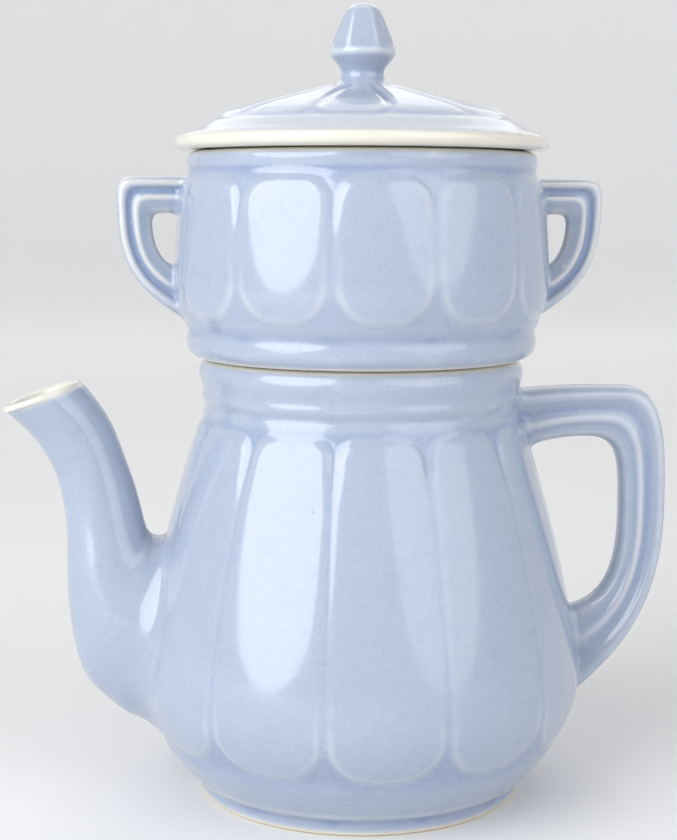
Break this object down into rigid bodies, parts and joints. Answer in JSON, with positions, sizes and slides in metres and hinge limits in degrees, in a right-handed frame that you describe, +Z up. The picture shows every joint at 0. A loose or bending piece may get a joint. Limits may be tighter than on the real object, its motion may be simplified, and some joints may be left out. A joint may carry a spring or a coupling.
{
  "type": "ceramic drip coffee pot",
  "caption": "Glazed earthenware drip coffee pot: panelled pot with spout and handle, a lift-off filter vessel with ears, a water spreader and a domed lid.",
  "frame": {"origin": "on the pot's axis at table level, 1.5 mm under the recessed underside", "axes": "+Z up along the axis of all four pieces, +X towards the pot's handle, -X towards the spout"},
  "size_m": [0.2215, 0.146, 0.2583],
  "materials": {
    "blue_glaze": "glossy pale blue glaze, deeper where it pools and cream where it thins over edges",
    "cream_glaze": "clear glaze over cream earthenware"
  },
  "bodies": {
    "pot": {"pot_body": "blue_glaze", "pot_spout": "blue_glaze", "pot_handle": "blue_glaze"},
    "filter": {"filter_vessel": "blue_glaze", "filter_ear_right": "blue_glaze", "filter_ear_left": "blue_glaze"},
    "spreader": {"spreader": "cream_glaze", "spreader_knob": "cream_glaze"},
    "lid": {"lid": "blue_glaze", "lid_knob": "blue_glaze"}
  },
  "joints": [
    {"name": "filter_lift", "type": "slide", "parent": "pot", "child": "filter", "axis": [0, 0, 1], "range_m": [0, 0.06]},
    {"name": "spreader_lift", "type": "slide", "parent": "filter", "child": "spreader", "axis": [0, 0, 1], "range_m": [0, 0.05]},
    {"name": "lid_lift", "type": "slide", "parent": "spreader", "child": "lid", "axis": [0, 0, 1], "range_m": [0, 0.06]}
  ]
}
